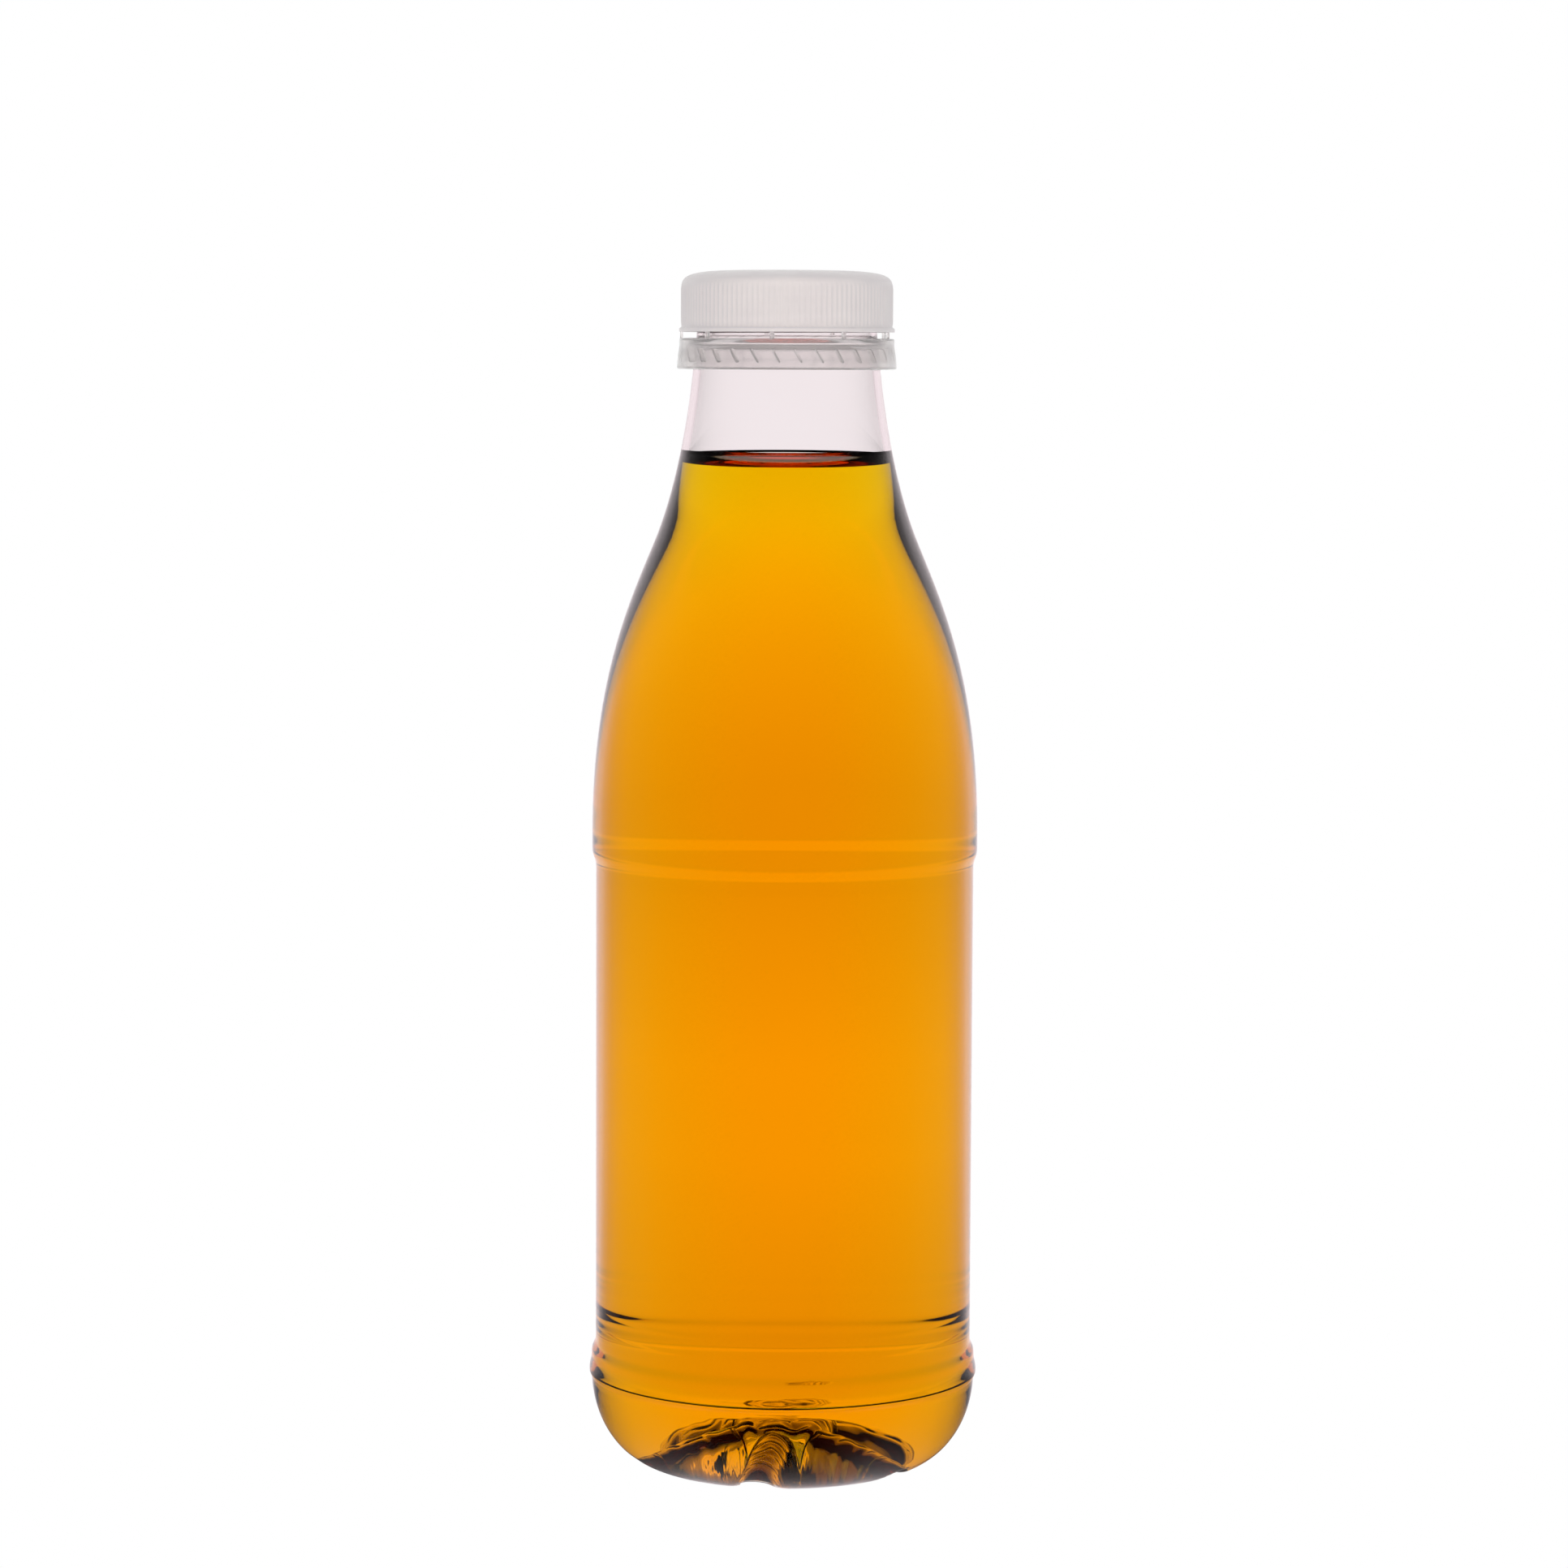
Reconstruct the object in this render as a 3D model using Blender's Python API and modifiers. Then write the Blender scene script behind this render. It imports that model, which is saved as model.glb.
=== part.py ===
"""Clear plastic bottle of amber juice with a translucent screw cap, full and unopened.

The bottle stands on Z = 0 with its axis on Z, and its front is -Y. It has three pieces: the blown bottle, which is
one thin shell open at its mouth, the juice inside it, and the screw cap, which is one moulding with its tamper band.
"""

import math

import bmesh
import bpy
from mathutils import Matrix, Vector

MM = 0.001
AROUND = 40
CAP_AROUND = 60

# Mouth, thread and bead, all under the cap
MOUTH_Z = 230.2 * MM
FINISH_RADIUS = 17.4 * MM
BORE_RADIUS = 16.3 * MM
LIP_ROUND = 0.5 * MM
BEAD_RADIUS = 19.2 * MM
BEAD_TOP_Z = 219.9 * MM
BEAD_Z = 219.0 * MM
BEAD_BOTTOM_Z = 218.2 * MM
THREAD_LEAD = 4.2 * MM
THREAD_TURN = math.radians(500)
THREAD_BOTTOM_Z = 221.5 * MM
THREAD_HEIGHT = 0.95 * MM
THREAD_START = math.radians(117)
THREAD_ROOT = 0.12 * MM
THREAD_POINTS = 26

# Neck and shoulder, as two curves that meet where the flank is steepest
NECK_RADIUS = 18.09 * MM
NECK_Z = 213.4 * MM
NECK_LEAN = 0.10
NECK_HANDLE = 5.8 * MM
FLANK_RADIUS = 25.42 * MM
FLANK_Z = 180.7 * MM
FLANK_LEAN = 0.39
FLANK_HANDLE = 12.5 * MM
BODY_RADIUS = 37.45 * MM
BODY_Z = 124.0 * MM
BODY_HANDLE = 30.0 * MM

# Label panel, which lies a little behind the shoulder and the bumper ring
PANEL_RADIUS = 36.72 * MM
PANEL_TOP_Z = 117.4 * MM
PANEL_BOTTOM_Z = 24.8 * MM
STEP_ROUND = 2.6 * MM
BUMPER_RADIUS = 37.95 * MM
BUMPER_Z = 18.4 * MM
BUMPER_SHELF_RADIUS = 37.5 * MM
BUMPER_SHELF_Z = 21.8 * MM

# Heel and pushed-up base
HEEL_WIDTH = 14.0 * MM
HEEL_HEIGHT = 18.0 * MM
HEEL_START = -6.0
PAD_OUTER_RADIUS = 23.5 * MM
PAD_INNER_RADIUS = 21.5 * MM
HUB_RADIUS = 7.5 * MM
HUB_FOOT_Z = 4.9 * MM
HUB_EDGE_Z = 9.9 * MM
HUB_TOP_Z = 10.6 * MM

# Radial grooves across the base
GROOVES = 6
GROOVE_TURN = math.radians(-10)
GROOVE_HALF_WIDTH = 3.1 * MM
GROOVE_ROUND = 2.8 * MM
GROOVE_TOP_Z = 10.1 * MM
GROOVE_FALL = 6.6
GROOVE_FOOT_Z = -3.0 * MM
GROOVE_APART = 0.05 * MM
GROOVE_OUT = 34.0 * MM
GROOVE_STEPS = 3

# Wall, thickest in the neck and thinnest in the body
NECK_WALL = 1.45 * MM
NECK_WALL_Z = 206.0 * MM
BODY_WALL = 0.55 * MM
BODY_WALL_Z = 135.0 * MM

# Juice
JUICE_LEVEL_Z = 195.8 * MM
CLEARANCE = 0.3 * MM

# Screw cap
CAP_TOP_Z = 232.75 * MM
CAP_RADIUS = 20.3 * MM
CAP_FLAT_RADIUS = 9.0 * MM
CAP_EDGE_Z = 229.9 * MM
CAP_PLATE = 1.6 * MM
CAP_INNER_RADIUS = 19.25 * MM
CAP_LIP_RADIUS = 20.8 * MM
CAP_LIP_TOP_Z = 222.1 * MM
CAP_BOTTOM_Z = 220.95 * MM
RIBS = 120
RIB_WIDTH = 0.45 * MM
RIB_PROUD = 0.13 * MM
CAP_THREAD_HEIGHT = 0.85 * MM

# Tamper band, hung from the cap by thin bridges
BAND_TOP_Z = 219.75 * MM
BAND_BOTTOM_Z = 213.85 * MM
BAND_TOP_RADIUS = 20.7 * MM
BAND_BOTTOM_RADIUS = 21.15 * MM
BAND_INNER_RADIUS = 19.9 * MM
BRIDGES = 9
BRIDGE_TURN = math.radians(-88)
BRIDGE_WIDTH = 0.9 * MM
FLAPS = 30
FLAP_THICKNESS = 0.5 * MM
FLAP_LENGTH = 2.7 * MM
FLAP_Z = 216.4 * MM
FLAP_TIP_RADIUS = 18.8 * MM
FLAP_LEAN = math.radians(30)


def clear_scene():
    for obj in list(bpy.data.objects):
        bpy.data.objects.remove(obj, do_unlink=True)


def new_collection(name):
    collection = bpy.data.collections.new(name)
    bpy.context.scene.collection.children.link(collection)
    return collection


def make_material(name, colour, roughness, transmission, ior):
    """A Principled material. Colour is linear red, green and blue."""
    material = bpy.data.materials.new(name)
    material.use_nodes = True
    shader = material.node_tree.nodes["Principled BSDF"]
    shader.inputs["Base Color"].default_value = (*colour, 1.0)
    shader.inputs["Roughness"].default_value = roughness
    shader.inputs["Metallic"].default_value = 0.0
    shader.inputs["Transmission Weight"].default_value = transmission
    shader.inputs["IOR"].default_value = ior
    return material


def arc(centre, width, height, start, end, steps):
    """Points on an arc of an ellipse in the (radius, z) plane. Angles are in degrees, from +radius towards +Z."""
    points = []
    for step in range(steps + 1):
        angle = math.radians(start + (end - start) * step / steps)
        points.append((centre[0] + width * math.cos(angle), centre[1] + height * math.sin(angle)))
    return points


def curve(start, start_handle, end_handle, end, steps):
    """Points on a cubic curve in the (radius, z) plane."""
    points = []
    for step in range(steps + 1):
        t = step / steps
        weights = ((1 - t) ** 3, 3 * t * (1 - t) ** 2, 3 * t * t * (1 - t), t**3)
        corners = (start, start_handle, end_handle, end)
        points.append(tuple(sum(w * corner[axis] for w, corner in zip(weights, corners)) for axis in (0, 1)))
    return points


def smooth_fall(start, end, steps):
    """A curve between two points that leaves and arrives upright, such as a step in a side wall."""
    middle = (start[1] + end[1]) / 2
    return curve(start, (start[0], middle), (end[0], middle), end, steps)


def shoulder(steps):
    """The outside from the neck down to the widest part of the body, in two curves."""
    neck_down = (math.sin(NECK_LEAN), -math.cos(NECK_LEAN))
    flank_down = (math.sin(FLANK_LEAN), -math.cos(FLANK_LEAN))
    neck, flank, body = (NECK_RADIUS, NECK_Z), (FLANK_RADIUS, FLANK_Z), (BODY_RADIUS, BODY_Z)
    upper = curve(
        neck,
        tuple(at + NECK_HANDLE * way for at, way in zip(neck, neck_down)),
        tuple(at - FLANK_HANDLE * way for at, way in zip(flank, flank_down)),
        flank,
        steps,
    )
    lower = curve(
        flank,
        tuple(at + FLANK_HANDLE * way for at, way in zip(flank, flank_down)),
        (body[0], body[1] + BODY_HANDLE),
        body,
        steps + 2,
    )
    return upper + lower[1:]


def lower_body(steps, heel_steps):
    """The outside from the widest part down over the panel, the bumper ring and the heel to the standing pads."""
    step_down = smooth_fall((BODY_RADIUS, PANEL_TOP_Z + STEP_ROUND), (PANEL_RADIUS, PANEL_TOP_Z), steps)
    ring_up = smooth_fall((PANEL_RADIUS, PANEL_BOTTOM_Z), (BUMPER_SHELF_RADIUS, BUMPER_SHELF_Z), steps)
    heel_centre = (PAD_OUTER_RADIUS, HEEL_HEIGHT)
    heel = arc(heel_centre, HEEL_WIDTH, HEEL_HEIGHT, HEEL_START, -90, heel_steps)
    return step_down + ring_up + [(BUMPER_RADIUS, BUMPER_Z)] + heel


def base(steps):
    """The underside from the standing pads up the cone to the middle of the hub."""
    cone = curve(
        (PAD_INNER_RADIUS, 0.0),
        (PAD_INNER_RADIUS * 0.85, 1.3 * MM),
        (HUB_RADIUS * 1.7, HUB_FOOT_Z * 0.95),
        (HUB_RADIUS, HUB_FOOT_Z),
        steps,
    )
    return cone + [(HUB_RADIUS * 0.95, HUB_EDGE_Z), (0.0, HUB_TOP_Z)]


def wall_at(z):
    """Wall thickness at a height: the body's up to the shoulder, then growing to the neck's."""
    share = (z - BODY_WALL_Z) / (NECK_WALL_Z - BODY_WALL_Z)
    return BODY_WALL + (NECK_WALL - BODY_WALL) * min(max(share, 0.0), 1.0)


def inset(profile, gap):
    """The profile moved into the bottle by the wall and a gap, square to itself. The last point stays on the axis."""
    moved = []
    for index, (radius, z) in enumerate(profile):
        before = profile[max(index - 1, 0)]
        after = profile[min(index + 1, len(profile) - 1)]
        way = Vector((after[0] - before[0], after[1] - before[1])).normalized()
        depth = wall_at(z) + gap
        moved.append((radius + way.y * depth, z - way.x * depth))
    moved[-1] = (0.0, profile[-1][1] + wall_at(0.0) + gap)
    return moved


def outer_profile():
    """The whole outside, from the middle of the mouth down to the middle of the base."""
    lip = arc((FINISH_RADIUS - LIP_ROUND, MOUTH_Z - LIP_ROUND), LIP_ROUND, LIP_ROUND, 90, 0, 2)
    bead = [
        (FINISH_RADIUS, BEAD_TOP_Z),
        (BEAD_RADIUS, BEAD_Z),
        (BEAD_RADIUS, BEAD_BOTTOM_Z),
        (NECK_RADIUS, BEAD_BOTTOM_Z - (BEAD_RADIUS - NECK_RADIUS)),
    ]
    return [(0.0, MOUTH_Z), (BORE_RADIUS, MOUTH_Z)] + lip + bead + shoulder(5) + lower_body(2, 6) + base(2)


def hollow_profile(gap):
    """The inside below the bore, from the neck to the middle of the base, moved in by a gap."""
    return inset(shoulder(3) + lower_body(1, 5) + base(2), gap)


def turn(name, profile, steps, collection):
    """A solid turned about Z from a profile that starts and ends on the axis and runs down its outer side."""
    mesh = bpy.data.meshes.new(name)
    edges = [(index, index + 1) for index in range(len(profile) - 1)]
    mesh.from_pydata([(radius, 0.0, z) for radius, z in profile], edges, [])
    obj = bpy.data.objects.new(name, mesh)
    collection.objects.link(obj)
    screw = obj.modifiers.new("turn", "SCREW")
    screw.axis = "Z"
    screw.steps = steps
    screw.render_steps = steps
    screw.use_merge_vertices = True
    screw.merge_threshold = 1e-5
    return obj


def apply_modifiers(obj):
    """Keeps the shape that the modifiers make and removes them."""
    graph = bpy.context.evaluated_depsgraph_get()
    mesh = bpy.data.meshes.new_from_object(obj.evaluated_get(graph))
    obj.modifiers.clear()
    obj.data = mesh


def boolean(obj, operation, other):
    """Joins or cuts the object with another object, or with every object of a collection."""
    modifier = obj.modifiers.new(operation.lower(), "BOOLEAN")
    modifier.operation = operation
    modifier.solver = "EXACT"
    if isinstance(other, bpy.types.Collection):
        modifier.operand_type = "COLLECTION"
        modifier.collection = other
    else:
        modifier.object = other


def remove_collection(collection):
    for obj in list(collection.objects):
        bpy.data.objects.remove(obj, do_unlink=True)
    bpy.data.collections.remove(collection)


def join_all(obj, pieces):
    """Joins the collection's pieces to the object for good, and removes them."""
    boolean(obj, "UNION", pieces)
    apply_modifiers(obj)
    remove_collection(pieces)


def hide_cutter(obj):
    obj.hide_render = True
    obj.display_type = "WIRE"


def finish(obj, material):
    """Gives the piece its material and shades it smooth except at its sharp edges."""
    obj.data.materials.clear()
    obj.data.materials.append(material)
    obj.data.shade_smooth()
    obj.data.set_sharp_from_angle(angle=math.radians(35))


def add_box(name, sizes, matrix, collection):
    """A box of the given sizes, moved and turned by the matrix."""
    mesh = bpy.data.meshes.new(name)
    shape = bmesh.new()
    bmesh.ops.create_cube(shape, size=1.0, matrix=matrix @ Matrix.Diagonal((*sizes, 1.0)))
    shape.to_mesh(mesh)
    shape.free()
    obj = bpy.data.objects.new(name, mesh)
    collection.objects.link(obj)


def facing_out(turn_angle, radius, z):
    """Places a piece at a turn from the front, with its X along the wall, its Y outwards and its Z up."""
    return Matrix.Rotation(turn_angle + math.pi, 4, "Z") @ Matrix.Translation((0.0, radius, z))


def add_thread(obj, name, radius, height, lift):
    """Joins one right-handed ridge to the object. Its section is centred on the radius, and lift raises it."""
    ridges = new_collection(name)
    outline = bpy.data.curves.new(name, "CURVE")
    outline.dimensions = "3D"
    outline.twist_mode = "Z_UP"
    outline.bevel_depth = height
    outline.bevel_resolution = 0
    outline.use_fill_caps = True
    spline = outline.splines.new("POLY")
    spline.points.add(THREAD_POINTS - 1)
    for index, point in enumerate(spline.points):
        turned = THREAD_TURN * index / (THREAD_POINTS - 1)
        angle = THREAD_START + turned
        z = THREAD_BOTTOM_Z + lift + THREAD_LEAD * turned / (2 * math.pi)
        point.co = (radius * math.cos(angle), radius * math.sin(angle), z, 1.0)
    guide = bpy.data.objects.new(name + "_guide", outline)
    ridges.objects.link(guide)
    graph = bpy.context.evaluated_depsgraph_get()
    mesh = bpy.data.meshes.new_from_object(guide.evaluated_get(graph))
    welded = bmesh.new()
    welded.from_mesh(mesh)
    bmesh.ops.remove_doubles(welded, verts=welded.verts, dist=1e-6)
    bmesh.ops.recalc_face_normals(welded, faces=welded.faces)
    welded.to_mesh(mesh)
    welded.free()
    ridge = bpy.data.objects.new(name, mesh)
    ridge.matrix_world = guide.matrix_world
    ridges.objects.link(ridge)
    bpy.data.objects.remove(guide, do_unlink=True)
    join_all(obj, ridges)


def groove_bar(margin):
    """An upright bar along one groove, its top arched outwards and rounded across, in the plane of X = 0.

    It starts just short of its neighbours, where the hub covers its end.
    """
    half_width = GROOVE_HALF_WIDTH + margin
    inner_end = half_width / math.tan(math.pi / GROOVES) + GROOVE_APART
    shape = bmesh.new()
    bmesh.ops.create_cube(shape, size=1.0)
    lengthwise = [edge for edge in shape.edges if abs(edge.verts[0].co.y - edge.verts[1].co.y) > 0.5]
    bmesh.ops.subdivide_edges(shape, edges=lengthwise, cuts=GROOVE_STEPS - 1, use_grid_fill=True)
    for vert in shape.verts:
        along, top = vert.co.y + 0.5, vert.co.z > 0
        radius = inner_end + along * (GROOVE_OUT + margin - inner_end)
        arch = GROOVE_TOP_Z + margin - GROOVE_FALL * radius**2
        vert.co = (vert.co.x * 2 * half_width, radius, arch if top else GROOVE_FOOT_Z)
    ridge = [
        edge
        for edge in shape.edges
        if all(vert.co.z > GROOVE_FOOT_Z + 1e-6 for vert in edge.verts)
        and abs(edge.verts[0].co.x - edge.verts[1].co.x) < 1e-6
    ]
    bmesh.ops.bevel(
        shape, geom=ridge, offset=GROOVE_ROUND + margin, segments=2, profile=0.5, affect="EDGES", clamp_overlap=True
    )
    return shape


def groove_bars(name, margin):
    """The bars along all the base's grooves, larger by the margin, as cutters."""
    bars = new_collection(name)
    for index in range(GROOVES):
        shape = groove_bar(margin)
        turned = facing_out(GROOVE_TURN + 2 * math.pi * index / GROOVES, 0.0, 0.0)
        bmesh.ops.transform(shape, matrix=turned, verts=shape.verts)
        mesh = bpy.data.meshes.new(f"{name}_{index}")
        shape.to_mesh(mesh)
        shape.free()
        bar = bpy.data.objects.new(mesh.name, mesh)
        bars.objects.link(bar)
        hide_cutter(bar)
    return bars


def build_bottle(pieces, cutters):
    """The blown shell: the turned outside with its thread, less the base's grooves and less the hollow."""
    bottle = turn("bottle", outer_profile(), AROUND, pieces)
    add_thread(bottle, "neck_thread", FINISH_RADIUS - THREAD_ROOT, THREAD_HEIGHT, 0.0)
    outer_grooves = groove_bars("outer_grooves", 0.0)
    boolean(bottle, "DIFFERENCE", outer_grooves)
    apply_modifiers(bottle)
    remove_collection(outer_grooves)
    bore = [(0.0, MOUTH_Z + 5 * MM), (BORE_RADIUS, MOUTH_Z + 5 * MM)]
    hollow = turn("hollow", bore + hollow_profile(0.0), AROUND, cutters)
    inner_grooves = groove_bars("inner_grooves", BODY_WALL)
    boolean(hollow, "DIFFERENCE", inner_grooves)
    apply_modifiers(hollow)
    remove_collection(inner_grooves)
    hide_cutter(hollow)
    boolean(bottle, "DIFFERENCE", hollow)
    apply_modifiers(bottle)
    bpy.data.objects.remove(hollow, do_unlink=True)
    finish(bottle, make_material("clear_plastic", (0.93, 0.91, 0.92), 0.02, 1.0, 1.57))


def build_juice(pieces):
    """The juice up to its level, clear of the wall all round."""
    below = [point for point in hollow_profile(CLEARANCE) if point[1] < JUICE_LEVEL_Z]
    above = [point for point in hollow_profile(CLEARANCE) if point[1] >= JUICE_LEVEL_Z][-1]
    share = (JUICE_LEVEL_Z - below[0][1]) / (above[1] - below[0][1])
    edge = (below[0][0] + share * (above[0] - below[0][0]), JUICE_LEVEL_Z)
    juice = turn("juice", [(0.0, JUICE_LEVEL_Z), edge] + below, AROUND, pieces)
    ridges = groove_bars("juice_grooves", BODY_WALL + CLEARANCE)
    boolean(juice, "DIFFERENCE", ridges)
    apply_modifiers(juice)
    remove_collection(ridges)
    finish(juice, make_material("amber_juice", (0.84, 0.3, 0.01), 0.0, 0.85, 1.34))


def cap_profile():
    """The cap without its band: over the top, down the side, round the lip and up inside to the axis."""
    crown = curve(
        (CAP_FLAT_RADIUS, CAP_TOP_Z),
        (CAP_FLAT_RADIUS + 8.5 * MM, CAP_TOP_Z),
        (CAP_RADIUS, CAP_TOP_Z - 0.7 * MM),
        (CAP_RADIUS, CAP_EDGE_Z),
        3,
    )
    lip = [
        (CAP_RADIUS, CAP_LIP_TOP_Z),
        (CAP_LIP_RADIUS, CAP_LIP_TOP_Z - 0.5 * MM),
        (CAP_LIP_RADIUS, CAP_BOTTOM_Z),
        (CAP_INNER_RADIUS, CAP_BOTTOM_Z),
    ]
    ceiling_z = CAP_TOP_Z - CAP_PLATE
    return [(0.0, CAP_TOP_Z)] + crown + lip + [(CAP_INNER_RADIUS, ceiling_z), (0.0, ceiling_z)]


def band_solid(collection):
    """The tamper band as a turned ring, cut through by its own bore."""
    outside = [
        (0.0, BAND_TOP_Z),
        (BAND_TOP_RADIUS - 0.2 * MM, BAND_TOP_Z),
        (BAND_TOP_RADIUS, BAND_TOP_Z - 0.2 * MM),
        (BAND_BOTTOM_RADIUS, BAND_BOTTOM_Z + 0.4 * MM),
        (BAND_BOTTOM_RADIUS - 0.1 * MM, BAND_BOTTOM_Z),
        (0.0, BAND_BOTTOM_Z),
    ]
    margin = 1.0 * MM
    opening = [
        (0.0, BAND_TOP_Z + margin),
        (BAND_INNER_RADIUS, BAND_TOP_Z + margin),
        (BAND_INNER_RADIUS, BAND_BOTTOM_Z - margin),
        (0.0, BAND_BOTTOM_Z - margin),
    ]
    band = turn("band", outside, CAP_AROUND, collection)
    bore = turn("band_bore", opening, CAP_AROUND, collection)
    boolean(band, "DIFFERENCE", bore)
    apply_modifiers(band)
    bpy.data.objects.remove(bore, do_unlink=True)


def add_ribs(collection):
    """Fine upright ribs, two to each flat of the cap's side and square to that flat."""
    flat_distance = CAP_RADIUS * math.cos(math.pi / CAP_AROUND)
    depth = 0.6 * MM
    top, bottom = CAP_EDGE_Z, CAP_LIP_TOP_Z + 0.2 * MM
    sideways = CAP_RADIUS * math.pi / RIBS
    for flat in range(CAP_AROUND):
        flat_turn = 2 * math.pi * (flat + 0.5) / CAP_AROUND
        place = facing_out(flat_turn, flat_distance + RIB_PROUD - depth / 2, (top + bottom) / 2)
        for side in (-1, 1):
            shift = Matrix.Translation((side * sideways, 0.0, 0.0))
            add_box(f"rib_{flat}_{side}", (RIB_WIDTH, depth, top - bottom), place @ shift, collection)


def add_bridges(collection):
    """Thin ties across the slit between the cap and its band."""
    inner, outer = BAND_INNER_RADIUS + 0.15 * MM, BAND_TOP_RADIUS - 0.1 * MM
    low, high = BAND_TOP_Z - 0.4 * MM, CAP_BOTTOM_Z + 0.4 * MM
    for index in range(BRIDGES):
        bridge_turn = BRIDGE_TURN + 2 * math.pi * index / BRIDGES
        place = facing_out(bridge_turn, (inner + outer) / 2, (low + high) / 2)
        add_box(f"bridge_{index}", (BRIDGE_WIDTH, outer - inner, high - low), place, collection)


def add_flaps(collection):
    """Leaning flaps inside the band, which catch under the neck's bead."""
    root = BAND_INNER_RADIUS + 0.3 * MM
    for index in range(FLAPS):
        flap_turn = 2 * math.pi * (index + 0.5) / FLAPS
        place = facing_out(flap_turn, (root + FLAP_TIP_RADIUS) / 2, FLAP_Z)
        lean = Matrix.Rotation(-FLAP_LEAN, 4, "Y")
        add_box(f"flap_{index}", (FLAP_THICKNESS, root - FLAP_TIP_RADIUS, FLAP_LENGTH), place @ lean, collection)


def build_cap(pieces):
    """The cap with its ribs and thread, its slit and its tamper band, as one moulding."""
    cap = turn("screw_cap", cap_profile(), CAP_AROUND, pieces)
    details = new_collection("cap_details")
    add_ribs(details)
    band_solid(details)
    add_bridges(details)
    add_flaps(details)
    join_all(cap, details)
    add_thread(cap, "cap_thread", CAP_INNER_RADIUS + THREAD_ROOT, CAP_THREAD_HEIGHT, THREAD_LEAD / 2)
    finish(cap, make_material("translucent_plastic", (0.72, 0.66, 0.67), 0.45, 0.35, 1.5))


def main():
    clear_scene()
    pieces = new_collection("juice_bottle")
    cutters = new_collection("cutters")
    build_bottle(pieces, cutters)
    build_juice(pieces)
    build_cap(pieces)
    bpy.data.collections.remove(cutters)


main()
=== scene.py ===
"""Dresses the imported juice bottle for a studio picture.

The bottle is a clear blown shell full of amber juice under a milky screw cap with its tamper band. Every
piece is a surface worked out with numpy from a few named sizes in metres. The bottle's axis is Z and its
front is -Y.
"""

import logging
import math
from dataclasses import dataclass
from enum import Enum

import bpy
import numpy as np
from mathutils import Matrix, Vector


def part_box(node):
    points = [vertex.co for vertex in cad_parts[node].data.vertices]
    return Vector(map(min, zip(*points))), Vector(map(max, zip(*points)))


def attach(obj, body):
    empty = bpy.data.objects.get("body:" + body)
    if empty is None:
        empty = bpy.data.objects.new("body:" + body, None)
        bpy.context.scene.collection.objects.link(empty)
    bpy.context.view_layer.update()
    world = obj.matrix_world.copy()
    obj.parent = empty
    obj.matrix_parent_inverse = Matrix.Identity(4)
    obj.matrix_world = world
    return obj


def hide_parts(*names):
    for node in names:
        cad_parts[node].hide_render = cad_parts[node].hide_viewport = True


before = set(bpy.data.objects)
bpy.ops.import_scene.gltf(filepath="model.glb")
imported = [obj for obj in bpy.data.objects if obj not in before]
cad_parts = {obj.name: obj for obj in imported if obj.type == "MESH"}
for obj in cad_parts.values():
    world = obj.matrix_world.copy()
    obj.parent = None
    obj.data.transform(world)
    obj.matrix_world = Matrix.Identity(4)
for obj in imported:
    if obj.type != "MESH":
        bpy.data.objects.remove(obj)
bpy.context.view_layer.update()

MM = 0.001
FULL_TURN = 2 * math.pi
BODY = "root"
SAME_PLACE = 0.002 * MM
NOISE_LOW, NOISE_HIGH = 0.3, 0.7
log = logging.getLogger("juice_bottle")


class Ends(Enum):
    """How the first and last rows of a turned grid are closed."""

    POLES = "both rows shrink to one point on the axis"
    LOOP = "the last row joins the first, as on a ring"


class Wall(Enum):
    """Which face of the blown shell a profile follows."""

    OUTSIDE = "the face that the hand meets"
    INSIDE = "the face that the juice meets"


def cubic(start: tuple, start_handle: tuple, end_handle: tuple, end: tuple, count: int) -> np.ndarray:
    """Points of a cubic curve: its four corners weighted by the cubic Bernstein terms of t, from 0 to 1.

    Args:
        start, start_handle, end_handle, end: (radius, z) corners in metres.
        count: number of points.

    Returns:
        An array of count rows (radius, z).
    """
    t = np.linspace(0.0, 1.0, count)[:, None]
    weights = ((1 - t) ** 3, 3 * t * (1 - t) ** 2, 3 * t**2 * (1 - t), t**3)
    corners = (start, start_handle, end_handle, end)
    return sum(weight * np.asarray(corner, float) for weight, corner in zip(weights, corners))


def moved(point: tuple, out: float, up: float) -> tuple:
    """The (radius, z) point moved out and up by millimetres."""
    return point[0] + out * MM, point[1] + up * MM


def upright_blend(start: tuple, end: tuple, count: int) -> np.ndarray:
    """A cubic curve that leaves and arrives upright, as a step in a side wall does.

    Args:
        start, end: (radius, z) ends in metres.
        count: number of points.

    Returns:
        An array of count rows (radius, z).
    """
    middle = (start[1] + end[1]) / 2
    return cubic(start, (start[0], middle), (end[0], middle), end, count)


def ellipse_arc(centre: tuple, size: tuple, start: float, end: float, count: int) -> np.ndarray:
    """Points centre + (width cos a, height sin a), with a in even steps between two angles.

    Args:
        centre: (radius, z) of the middle.
        size: half width and half height.
        start, end: angles in degrees, from +radius towards +Z.
        count: number of points.

    Returns:
        An array of count rows (radius, z).
    """
    angle = np.radians(np.linspace(start, end, count))
    return np.stack([centre[0] + size[0] * np.cos(angle), centre[1] + size[1] * np.sin(angle)], axis=1)


def straight(start: tuple, end: tuple, count: int) -> np.ndarray:
    """Evenly spaced points from start to end."""
    return np.linspace(start, end, count)


def strung(*parts: np.ndarray) -> np.ndarray:
    """One profile from several that follow each other, less the points that repeat the one before.

    Args:
        parts: arrays of rows (radius, z).

    Returns:
        One array of rows (radius, z).
    """
    whole = np.concatenate(parts)
    steps = np.linalg.norm(np.diff(whole, axis=0), axis=1)
    return whole[np.concatenate([[True], steps > SAME_PLACE])]


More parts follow.
